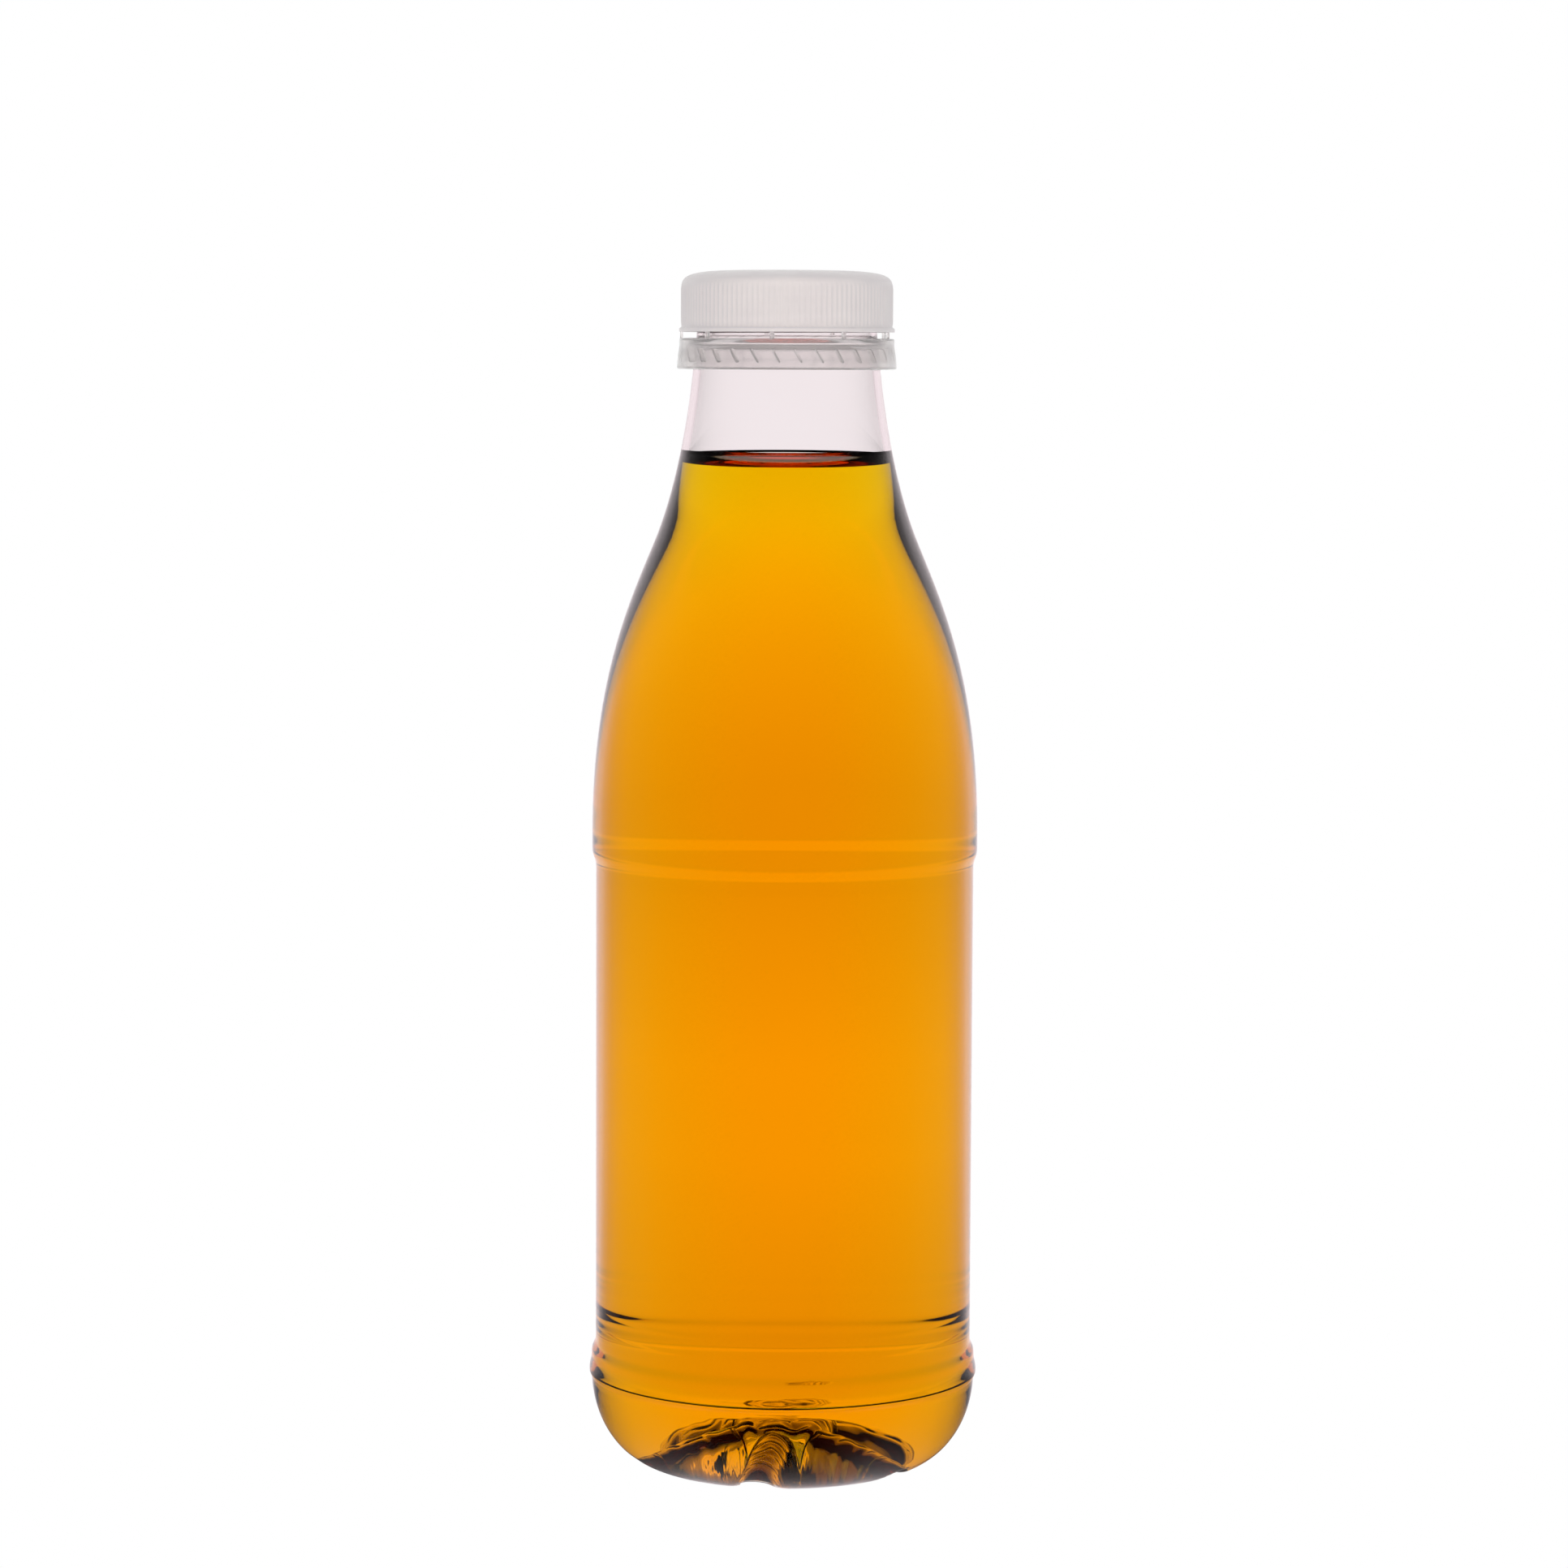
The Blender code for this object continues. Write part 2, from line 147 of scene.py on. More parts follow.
def sideways(profile: np.ndarray, depth: np.ndarray) -> np.ndarray:
    """The profile moved square to itself: each point goes depth to the right of the way the profile runs.

    Args:
        profile: rows (radius, z) that run down an outer side.
        depth: distance for each point, towards the material's inside.

    Returns:
        The moved rows. The last point stays on the axis.
    """
    way = np.gradient(profile, axis=0)
    way /= np.linalg.norm(way, axis=1, keepdims=True)
    shifted = profile + depth[:, None] * np.stack([way[:, 1], -way[:, 0]], axis=1)
    shifted[:, 0] = np.maximum(shifted[:, 0], 0.0)
    if profile[-1, 0] < SAME_PLACE:
        shifted[-1] = (0.0, profile[-1, 1] + depth[-1])
    return shifted


def hump(distance: np.ndarray, width: float) -> np.ndarray:
    """A smooth bump, exp(-(distance / width) squared), one at its middle."""
    return np.exp(-((distance / width) ** 2))


def gate(value: np.ndarray, low: float, high: float, soft: float) -> np.ndarray:
    """One between low and high and zero outside, with edges that ease over the length soft."""
    up = np.clip((value - low) / soft + 0.5, 0.0, 1.0)
    down = np.clip((high - value) / soft + 0.5, 0.0, 1.0)
    return (up * up * (3 - 2 * up)) * (down * down * (3 - 2 * down))


def crinkles(x: np.ndarray, y: np.ndarray) -> np.ndarray:
    """Uneven ripples about 3 mm apart: two crossing sine waves, each bent by a slower one.

    Args:
        x, y: grids of places in metres.

    Returns:
        The grid of the two waves' sum, from -2 to 2. Their rates are in radians for each metre.
    """
    rate_x, rate_y, slow_x, slow_y = 2100, 1900, 1100, 900
    bend_x, bend_y, start_y = 1.3, 1.7, 0.8
    along_x = np.sin(rate_x * x + bend_x * np.sin(slow_y * y))
    return along_x + np.sin(rate_y * y + bend_y * np.sin(slow_x * x) + start_y)


def around(columns: int) -> np.ndarray:
    """Even angles for one turn, from +X towards +Y, with no repeat."""
    return np.arange(columns) * (FULL_TURN / columns)


def spun(profile: np.ndarray, columns: int) -> tuple[np.ndarray, np.ndarray]:
    """Grids of radii and of heights, with each row of a profile repeated for every column."""
    return np.repeat(profile[:, :1], columns, axis=1), np.repeat(profile[:, 1:], columns, axis=1)


def thread_ridge(
    heights: np.ndarray, angles: np.ndarray, lead: float, start: float, width: float
) -> np.ndarray:
    """A right-handed thread's ridge: a hump at start + lead times the turns, and at each lead above.

    Args:
        heights: a grid of rows by columns.
        angles: the angle of each column.
        lead: how far the ridge climbs in a turn.
        start: its height at angle zero.
        width: half its width.

    Returns:
        The grid of the ridge's share, one at its crest.
    """
    climb = (heights - lead * angles / FULL_TURN - start) % lead
    return hump(np.minimum(climb, lead - climb), width)


def piece_from(name: str, points: np.ndarray, faces: list[np.ndarray]) -> bpy.types.Object:
    """A smooth-shaded object from its points and faces, at the world's origin.

    Args:
        name: the piece's name.
        points: rows (x, y, z) in metres.
        faces: arrays of point numbers, one row a face.

    Returns:
        The new object, riding on the bottle's body.
    """
    mesh = bpy.data.meshes.new(name)
    mesh.from_pydata(points.tolist(), [], [row for block in faces for row in block.tolist()])
    mesh.shade_smooth()
    mesh.validate()
    piece = bpy.data.objects.new(name, mesh)
    bpy.context.scene.collection.objects.link(piece)
    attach(piece, BODY)
    log.info("%s: %d points, %d faces", name, len(mesh.vertices), len(mesh.polygons))
    return piece


def capped_faces(rows: int, columns: int) -> list[np.ndarray]:
    """Faces of a turned grid whose first and last rows are each one point.

    Args:
        rows, columns: the grid's size, with the single points counted as rows.

    Returns:
        The quads, then the triangles round the first point and round the last.
    """
    numbers = 1 + np.arange((rows - 2) * columns).reshape(rows - 2, columns)
    beside = np.roll(numbers, -1, axis=1)
    quads = np.stack([numbers[:-1], numbers[1:], beside[1:], beside[:-1]], axis=-1).reshape(-1, 4)
    top = np.stack([np.zeros(columns, int), numbers[0], beside[0]], axis=-1)
    bottom = np.stack([numbers[-1], np.full(columns, numbers[-1, -1] + 1), beside[-1]], axis=-1)
    return [quads, top, bottom]


def turned_piece(
    name: str, radii: np.ndarray, heights: np.ndarray, angles: np.ndarray, ends: Ends
) -> bpy.types.Object:
    """A piece whose point (row, column) is (radius cos angle, radius sin angle, height).

    Args:
        name: the piece's name.
        radii, heights: grids of rows by columns, running down the outer side.
        angles: the angle of each column.
        ends: how the first and last rows are closed.

    Returns:
        The new object.
    """
    grid = np.stack([radii * np.cos(angles), radii * np.sin(angles), heights], axis=-1)
    rows, columns = radii.shape
    if ends is Ends.LOOP:
        upper = np.arange(rows * columns).reshape(rows, columns)
        lower = np.roll(upper, -1, axis=0)
        quads = np.stack([upper, lower, np.roll(lower, -1, axis=1), np.roll(upper, -1, axis=1)], axis=-1)
        return piece_from(name, grid.reshape(-1, 3), [quads.reshape(-1, 4)])
    first = np.array([[0.0, 0.0, heights[0].mean()]])
    last = np.array([[0.0, 0.0, heights[-1].mean()]])
    points = np.concatenate([first, grid[1:-1].reshape(-1, 3), last])
    return piece_from(name, points, capped_faces(rows, columns))


def block_grid(half: tuple, power: float, rows: int, columns: int) -> tuple[np.ndarray, list[np.ndarray]]:
    """A rounded block: the unit ball's coordinates, each raised to a power below one, times the half sizes.

    Args:
        half: half sizes along X, Y and Z.
        power: one for a ball, smaller for squarer blocks.
        rows, columns: the grid's size.

    Returns:
        The points and the faces.
    """
    lat = np.linspace(math.pi / 2, -math.pi / 2, rows)[:, None]
    lon = around(columns)[None, :]
    ball = np.stack([np.cos(lat) * np.cos(lon), np.cos(lat) * np.sin(lon), np.sin(lat) + 0 * lon], axis=-1)
    ball = np.sign(ball) * np.abs(ball) ** power * np.asarray(half)
    points = np.concatenate([[[0, 0, half[2]]], ball[1:-1].reshape(-1, 3), [[0, 0, -half[2]]]])
    return points, capped_faces(rows, columns)


def repeated(
    points: np.ndarray, faces: list[np.ndarray], places: np.ndarray
) -> tuple[np.ndarray, list[np.ndarray]]:
    """Copies of one shape, one for each 4x4 place.

    Args:
        points, faces: the shape.
        places: an array of 4x4 matrices.

    Returns:
        The points and faces of all copies.
    """
    turned = np.einsum("nij,pj->npi", places[:, :3, :3], points) + places[:, None, :3, 3]
    shift = np.arange(len(places))[:, None, None] * len(points)
    return turned.reshape(-1, 3), [(block[None] + shift).reshape(-1, block.shape[1]) for block in faces]


def facing_out(turns: np.ndarray, radius: float, z: float, lean: float) -> np.ndarray:
    """Places for pieces on a wall: local X runs along it, Y outwards and Z up, after leaning about Y.

    Args:
        turns: angles from the front towards +X, in radians.
        radius, z: where the piece's middle is.
        lean: turn about the outward axis, in radians.

    Returns:
        An array of 4x4 matrices.
    """
    places = np.zeros((len(turns), 4, 4))
    out = np.stack([np.sin(turns), -np.cos(turns), 0 * turns], axis=1)
    along = np.stack([-np.cos(turns), -np.sin(turns), 0 * turns], axis=1)
    up = np.array([0.0, 0.0, 1.0])
    places[:, :3, 0] = along * math.cos(lean) - up * math.sin(lean)
    places[:, :3, 1] = out
    places[:, :3, 2] = along * math.sin(lean) + up * math.cos(lean)
    places[:, :3, 3] = out * radius + up * z
    places[:, 3, 3] = 1.0
    return places


class Sheet:
    """A material's node tree, with short calls to add nodes and join them."""

    def __init__(self, name: str) -> None:
        """Starts a material with a Principled shader."""
        self.material = bpy.data.materials.new(name)
        self.material.use_nodes = True
        self.nodes = self.material.node_tree.nodes
        self.links = self.material.node_tree.links
        self.shader = self.nodes["Principled BSDF"]
        self.output = self.nodes["Material Output"]
        self.place = self.add("ShaderNodeTexCoord")

    def add(self, kind: str, **values: object) -> bpy.types.Node:
        """Adds a node and sets its input sockets, or else its own settings, by name."""
        node = self.nodes.new(kind)
        for key, value in values.items():
            socket = node.inputs.get(key.replace("_", " ").title())
            if socket is None:
                setattr(node, key, value)
            else:
                socket.default_value = value
        return node

    def set(self, **values: object) -> None:
        """Sets the shader's own sockets, named in lower case with underscores."""
        names = {socket.name.lower().replace(" ", "_"): socket for socket in self.shader.inputs}
        for key, value in values.items():
            names[key].default_value = value

    def noise(self, scale: float, detail: float = 3.0, stretch: tuple = (1, 1, 1)) -> bpy.types.NodeSocket:
        """Noise on the object's own coordinates. Scale counts features for each metre."""
        mapping = self.add("ShaderNodeMapping")
        mapping.inputs["Scale"].default_value = stretch
        self.links.new(self.place.outputs["Object"], mapping.inputs["Vector"])
        texture = self.add("ShaderNodeTexNoise", scale=scale, detail=detail)
        self.links.new(mapping.outputs["Vector"], texture.inputs["Vector"])
        return texture.outputs["Fac"]

    def mapped(self, source: bpy.types.NodeSocket, before: tuple, after: tuple) -> bpy.types.NodeSocket:
        """The source with the range before spread over the range after, and held at its ends."""
        node = self.add("ShaderNodeMapRange")
        for key, value in zip(("From Min", "From Max", "To Min", "To Max"), (*before, *after)):
            node.inputs[key].default_value = value
        self.links.new(source, node.inputs["Value"])
        return node.outputs["Result"]

    def ranged(self, source: bpy.types.NodeSocket, low: float, high: float) -> bpy.types.NodeSocket:
        """A noise's usual range spread over low to high."""
        return self.mapped(source, (NOISE_LOW, NOISE_HIGH), (low, high))

    def blended(self, source: bpy.types.NodeSocket, first: tuple, second: tuple) -> bpy.types.NodeSocket:
        """A colour that goes from first to second over a noise's usual range."""
        ramp = self.add("ShaderNodeValToRGB")
        stops = zip(ramp.color_ramp.elements, (NOISE_LOW, NOISE_HIGH), (first, second))
        for element, position, colour in stops:
            element.position = position
            element.color = (*colour, 1.0)
        self.links.new(source, ramp.inputs["Fac"])
        return ramp.outputs["Color"]

    def turned_away(self, full: float) -> bpy.types.NodeSocket:
        """How far the surface turns from the eye, over a noise's usual range. At full it is all turned."""
        weight = self.add("ShaderNodeLayerWeight")
        weight.inputs["Blend"].default_value = 0.5
        return self.mapped(weight.outputs["Facing"], (0.0, full), (NOISE_LOW, NOISE_HIGH))

    def bump(self, source: bpy.types.NodeSocket, strength: float, distance: float) -> None:
        """Raises the surface by distance metres times the source."""
        node = self.add("ShaderNodeBump", strength=strength, distance=distance)
        self.links.new(source, node.inputs["Height"])
        self.links.new(node.outputs["Normal"], self.shader.inputs["Normal"])

    def feed(self, socket: str, source: bpy.types.NodeSocket) -> None:
        """Joins a source to one of the shader's sockets."""
        self.links.new(source, self.shader.inputs[socket])


@dataclass(frozen=True)
class ClearPlastic:
    """Blown clear plastic: glass-like, with the faint waves that blowing leaves."""

    tint: tuple = (0.99, 0.945, 0.955)
    ior: float = 1.575
    facing_gloss: tuple = (0.0, 0.0, 0.0, 1.0)
    tone_scale: float = 30.0
    tone: float = 0.99
    wave_scale: float = 55.0
    wave_stretch: tuple = (1.0, 1.0, 0.5)
    wave_strength: float = 0.25
    wave_depth: float = 0.05 * MM

    def material(self) -> bpy.types.Material:
        """The finished material."""
        sheet = Sheet("clear_plastic")
        sheet.set(transmission_weight=1.0, ior=self.ior, roughness=0.0, specular_tint=self.facing_gloss)
        faint = tuple(part * self.tone for part in self.tint)
        sheet.feed("Base Color", sheet.blended(sheet.noise(self.tone_scale), self.tint, faint))
        waves = sheet.noise(self.wave_scale, 2.0, self.wave_stretch)
        sheet.bump(waves, self.wave_strength, self.wave_depth)
        return sheet.material


@dataclass(frozen=True)
class AmberJuice:
    """Clear amber juice: it takes green slowly and blue at once, and lets red through."""

    ior: float = 1.34
    facing_gloss: tuple = (0.0, 0.0, 0.0, 1.0)
    density: float = 230.0
    passed: tuple = (0.9995, 0.9366, 0.0)
    tone_scale: float = 25.0
    clear: tuple = (1.0, 1.0, 1.0)
    cloudy: tuple = (0.99, 0.98, 0.97)

    def material(self) -> bpy.types.Material:
        """The finished material."""
        sheet = Sheet("amber_juice")
        sheet.set(transmission_weight=1.0, ior=self.ior, roughness=0.0, specular_tint=self.facing_gloss)
        sheet.feed("Base Color", sheet.blended(sheet.noise(self.tone_scale), self.clear, self.cloudy))
        inside = sheet.add("ShaderNodeVolumeAbsorption")
        inside.inputs["Color"].default_value = (*self.passed, 1.0)
        inside.inputs["Density"].default_value = self.density
        sheet.links.new(inside.outputs["Volume"], sheet.output.inputs["Volume"])
        return sheet.material


@dataclass(frozen=True)
class MilkyPlastic:
    """Moulded milky plastic for the cap: satin, a little cloudy, with light coming through it.

    The body colour drifts from dull to bright at random. Where the surface turns from the eye it is darkened
    towards the rim's cool grey: painted shade on the cap's sides, standing in for the deeper plastic seen
    there.
    """

    name: str = "milky_plastic"
    bright: tuple = (0.99, 0.92, 0.9)
    dull: tuple = (0.955, 0.88, 0.87)
    middle: tuple = (1.0, 1.0, 1.0)
    # rim is a painted shade colour, reached where the surface turns from the eye as far as edge_shade_at.
    rim: tuple = (0.86, 0.88, 0.9)
    edge_shade_at: float = 0.45
    through: float = 0.28
    blur: tuple = (0.32, 0.42)
    ior: float = 1.49
    cloud_scale: float = 120.0
    grain_scale: float = 600.0
    pore_scale: float = 2600.0
    pore_strength: float = 0.2
    pore_depth: float = 0.02 * MM

    def material(self) -> bpy.types.Material:
        """The finished material."""
        sheet = Sheet(self.name)
        sheet.set(ior=self.ior, transmission_weight=self.through)
        body = sheet.blended(sheet.noise(self.cloud_scale, 4.0), self.dull, self.bright)
        # Painted shade: the body colour darkens towards the rim colour where the surface turns from the eye.
        depth = sheet.blended(sheet.turned_away(self.edge_shade_at), self.middle, self.rim)
        sheet.feed("Base Color", product(sheet.material.node_tree, body, depth))
        sheet.feed("Roughness", sheet.ranged(sheet.noise(self.grain_scale), *self.blur))
        sheet.bump(sheet.noise(self.pore_scale, 2.0), self.pore_strength, self.pore_depth)
        return sheet.material


@dataclass(frozen=True)
class BottleForm:
    """Sizes of the blown bottle, and the profiles and relief that follow from them.

    Profiles start as close rows, and worth_keeping then picks the rows that the surface needs: at most
    row_turn and row_gap apart, closer at the rings, and closest at the base's relief and the thread.
    """

    mouth_z: float
    bumper_radius: float
    finish_radius: float = 17.4 * MM
    bore_radius: float = 16.3 * MM
    bore_start_z: float = 221.0 * MM
    bore_handles: tuple = (217.0 * MM, 214.0 * MM)
    rim_round: float = 0.3 * MM
    lip_round: float = 0.5 * MM
    bead_radius: float = 19.2 * MM
    bead_z: float = 218.6 * MM
    bead_width: float = 0.7 * MM
    neck_radius: float = 18.09 * MM
    neck_z: float = 213.4 * MM
    neck_lean: float = 0.10
    neck_handle: float = 5.8 * MM
    neck_rings: tuple = ((211.6 * MM, 0.025 * MM), (206.6 * MM, 0.02 * MM))
    neck_ring_width: float = 0.8 * MM
    flank_radius: float = 25.42 * MM
    flank_z: float = 180.7 * MM
    flank_lean: float = 0.39
    flank_handle: float = 12.5 * MM
    body_radius: float = 37.45 * MM
    body_z: float = 124.0 * MM
    body_handle: float = 30.0 * MM
    panel_radius: float = 36.72 * MM
    panel_top_z: float = 117.4 * MM
    panel_bottom_z: float = 24.8 * MM
    panel_plain_z: float = 34.0 * MM
    step_height: float = 4.0 * MM
    bumper_z: float = 18.4 * MM
    notch_proud: float = 0.1 * MM
    notch_drop: float = 1.1 * MM
    shelf_radius: float = 37.5 * MM
    shelf_z: float = 21.8 * MM
    panel_rings: tuple = (31.2 * MM, 27.6 * MM)
    panel_ring_depth: float = 0.035 * MM
    panel_ring_width: float = 0.45 * MM
    heel_width: float = 14.0 * MM
    heel_height: float = 18.0 * MM
    heel_start: float = -6.0
    pad_outer: float = 23.5 * MM
    pad_inner: float = 21.5 * MM
    hub_radius: float = 7.5 * MM
    hub_foot_z: float = 4.9 * MM
    hub_edge_z: float = 9.9 * MM
    hub_top_z: float = 10.6 * MM
    grooves: int = 6
    groove_turn: float = math.radians(-10)
    groove_radius: float = 3.1 * MM
    groove_flank: float = 1.8
    groove_top_z: float = 10.1 * MM
    groove_fall: float = 6.6
    groove_round: float = 0.6 * MM
    groove_end_from: float = 24.0 * MM
    groove_end_fall: float = 50.0
    relief_z: float = 16.0 * MM
    relief_radius: float = 36.0 * MM
    crinkle: float = 0.05 * MM
    crinkled_radii: tuple = (1.0 * MM, 19.0 * MM)
    crinkle_fade: float = 3.0 * MM
    columns: int = 176
    crowding: float = 0.45
    row_turn: float = 0.1
    row_gap: float = 3.0 * MM
    ring_gap: float = 1.1 * MM
    relief_gap: float = 0.6 * MM
    close_z: float = 12.0 * MM
    close_radius: float = 33.0 * MM
    thread_zone_z: float = 217.0 * MM
    ring_zone: tuple = (26.0 * MM, 9.0 * MM)
    step_zone: float = 5.0 * MM
    neck_wall: float = 1.45 * MM
    neck_wall_z: float = 206.0 * MM
    body_wall: float = 0.55 * MM
    body_wall_z: float = 135.0 * MM
    thread_lead: float = 4.2 * MM
    thread_height: float = 0.85 * MM
    thread_start: float = 1.6 * MM
    thread_width: float = 0.62 * MM
    thread_low: float = 221.6 * MM
    thread_high: float = 228.2 * MM
    thread_runout: float = 1.2 * MM

    def shoulder(self, count: int) -> np.ndarray:
        """The outside from the neck down to the widest part: two cubic curves that meet on the flank.

        Args:
            count: points for each curve.

        Returns:
            Rows (radius, z).
        """
        neck_way = (math.sin(self.neck_lean), -math.cos(self.neck_lean))
        flank_way = (math.sin(self.flank_lean), -math.cos(self.flank_lean))
        neck, flank = (self.neck_radius, self.neck_z), (self.flank_radius, self.flank_z)
        after_neck = tuple(at + self.neck_handle * way for at, way in zip(neck, neck_way))
        before_flank = tuple(at - self.flank_handle * way for at, way in zip(flank, flank_way))
        after_flank = tuple(at + self.flank_handle * way for at, way in zip(flank, flank_way))
        body = (self.body_radius, self.body_z)
        before_body = (self.body_radius, self.body_z + self.body_handle)
        return strung(
            cubic(neck, after_neck, before_flank, flank, count),
            cubic(flank, after_flank, before_body, body, count),
        )

    def sides(self) -> np.ndarray:
        """The outside from the widest part over step, panel, bumper ring and heel to the standing pads.

        The bumper ring's curves have handles that are moves from their ends, in millimetres.

        Returns:
            Rows (radius, z).
        """
        step_top = (self.body_radius, self.panel_top_z + self.step_height)
        panel_top = (self.panel_radius, self.panel_top_z)
        panel_plain = (self.panel_radius, self.panel_plain_z)
        panel_bottom = (self.panel_radius, self.panel_bottom_z)
        shelf, crest = (self.shelf_radius, self.shelf_z), (self.bumper_radius, self.bumper_z)
        heel_middle, heel_size = (self.pad_outer, self.heel_height), (self.heel_width, self.heel_height)
        heel = ellipse_arc(heel_middle, heel_size, self.heel_start, -90, 240)
        heel_top = tuple(heel[0])
        notch = (heel_top[0] + self.notch_proud, self.bumper_z - self.notch_drop)
        profile = strung(
            straight((self.body_radius, self.body_z), step_top, 4),
            upright_blend(step_top, panel_top, 80),
            straight(panel_top, panel_plain, 40),
            straight(panel_plain, panel_bottom, 160),
            upright_blend(panel_bottom, shelf, 70),
            cubic(shelf, moved(shelf, 0.0, -1.6), moved(crest, 0.0, 1.4), crest, 40),
            cubic(crest, moved(crest, 0.0, -0.35), moved(notch, 0.12, 0.25), notch, 30),
            cubic(notch, moved(notch, 0.0, -0.3), moved(heel_top, 0.0, 0.5), heel_top, 30),
            heel,
        )
        for z in self.panel_rings:
            profile[:, 0] += self.panel_ring_depth * hump(profile[:, 1] - z, self.panel_ring_width)
        return profile

    def underside(self) -> np.ndarray:
        """The underside from the standing pads up the cone to the middle of the hub.

        The curves' handles are shares of their ends' sizes, or small steps from them.

        Returns:
            Rows (radius, z).
        """
        foot, rim = (self.hub_radius, self.hub_foot_z), (self.pad_inner, 0.0)
        hub_edge, hub_middle = (foot[0] * 0.72, self.hub_edge_z + 0.15 * MM), (0.0, self.hub_top_z)
        cone_handles = (rim[0] * 0.85, 1.3 * MM), (foot[0] * 1.7, foot[1] * 0.95)
        side_handles = (foot[0] * 0.95, foot[1] + 1.0 * MM), (foot[0] * 0.95, self.hub_edge_z)
        crown_handles = (foot[0] * 0.4, hub_edge[1] + 0.3 * MM), (foot[0] * 0.2, self.hub_top_z)
        return strung(
            straight((self.pad_outer, 0.0), rim, 16),
            cubic(rim, *cone_handles, foot, 160),
            cubic(foot, *side_handles, hub_edge, 70),
            cubic(hub_edge, *crown_handles, hub_middle, 60),
        )

    def neck(self) -> np.ndarray:
        """The outside from the mouth's lip down over the thread's wall and the bead to the neck.

        Returns:
            Rows (radius, z).
        """
        lip_z = self.mouth_z - self.lip_round
        wall = straight((self.finish_radius, lip_z), (self.finish_radius, self.bead_z), 60)
        below = straight((self.neck_radius, self.bead_z), (self.neck_radius, self.neck_z), 24)
        for part in (wall, below):
            part[:, 0] += (self.bead_radius - part[0, 0]) * hump(part[:, 1] - self.bead_z, self.bead_width)
        lip_middle = (self.finish_radius - self.lip_round, lip_z)
        return strung(ellipse_arc(lip_middle, (self.lip_round, self.lip_round), 90, 0, 6), wall, below)

    def wall_at(self, z: np.ndarray) -> np.ndarray:
        """Wall thickness at heights: the body's up to the shoulder, then growing evenly to the neck's."""
        share = np.clip((z - self.body_wall_z) / (self.neck_wall_z - self.body_wall_z), 0.0, 1.0)
        return self.body_wall + (self.neck_wall - self.body_wall) * share

    def around_grooves(self) -> np.ndarray:
        """The columns' angles: an even turn less a share of the sine of the groove angle, to crowd there."""
        turns = around(self.columns)
        from_groove = turns + math.pi / 2 - self.groove_turn
        return turns - self.crowding / self.grooves * np.sin(self.grooves * from_groove)

    def worth_keeping(self, profile: np.ndarray) -> np.ndarray:
        """Picks a row wherever the sum of length / gap and turning / row_turn passes a whole number.

        Args:
            profile: rows (radius, z), close together.

        Returns:
            True for each row to keep, both ends among them.
        """
        steps = np.diff(profile, axis=0)
        heading = np.unwrap(np.arctan2(steps[:, 1], steps[:, 0]))
        turning = np.concatenate([[0.0], np.abs(np.diff(heading))])
        radii, heights = profile[1:, 0], profile[1:, 1]
        based = (heights < self.close_z) & (radii < self.close_radius)
        ringed = np.abs(heights - self.ring_zone[0]) < self.ring_zone[1]
        stepped = np.abs(heights - self.panel_top_z) < self.step_zone
        spacing = np.where(ringed | stepped, self.ring_gap, self.row_gap)
        spacing = np.where(based | (heights > self.thread_zone_z), self.relief_gap, spacing)
        lengths = np.hypot(steps[:, 0], steps[:, 1])
        run = np.concatenate([[0.0], np.cumsum(lengths / spacing + turning / self.row_turn)])
        kept = np.concatenate([[True], np.floor(run[1:]) > np.floor(run[:-1])])
        kept[-1] = True
        return kept

    def body(self, face: Wall, reach: float = 0.0) -> np.ndarray:
        """The shell's profile from the neck's foot down to the middle of the base.

        Args:
            face: the outside or the inside.
            reach: how far an inside profile is moved out into the wall.

        Returns:
            Rows (radius, z).
        """
        outside = strung(self.shoulder(400), self.sides(), self.underside())
        for z, proud in self.neck_rings:
            outside[:, 0] += proud * hump(outside[:, 1] - z, self.neck_ring_width)
        kept = self.worth_keeping(outside)
        if face is Wall.OUTSIDE:
            return outside[kept]
        return sideways(outside[kept], self.wall_at(outside[kept, 1]) - reach)

    def relief(self, radii: np.ndarray, heights: np.ndarray, angles: np.ndarray, margin: float) -> np.ndarray:
        """Heights with the base's grooves pushed up into them.

        Each groove is a round bar that lies along a ray from the axis and arches down outwards, its top at
        groove_top_z less groove_fall times the distance from the axis squared. Its upper face is the bar's
        axis height plus the root of (bar radius squared less the distance from the ray squared), and the
        result is the soft maximum of that face and the turned surface.

        Args:
            radii, heights: grids of rows by columns.
            angles: the angle of each column.
            margin: how much thicker the bars are than the outer grooves.

        Returns:
            The grid of heights.
        """
        sector = FULL_TURN / self.grooves
        from_groove = angles + math.pi / 2 - self.groove_turn
        off = (from_groove + sector / 2) % sector - sector / 2
        across, along = radii * np.sin(off), radii * np.cos(off)
        size = self.groove_radius + margin
        outward = np.maximum(along - self.groove_end_from, 0.0)
        arch = self.groove_fall * along**2 + self.groove_end_fall * outward**2
        middle = self.groove_top_z - self.groove_radius - arch
        beyond = np.maximum(np.abs(across) - size, 0.0)
        face = middle + np.sqrt(np.maximum(size**2 - across**2, 0.0)) - self.groove_flank * beyond
        lifted = np.logaddexp(heights / self.groove_round, face / self.groove_round) * self.groove_round
        waves = crinkles(radii * np.cos(angles), radii * np.sin(angles))
        lifted += self.crinkle * waves * gate(radii, *self.crinkled_radii, self.crinkle_fade)
        near = (heights < self.relief_z) & (radii < self.relief_radius)
        return np.where(near, lifted, heights)


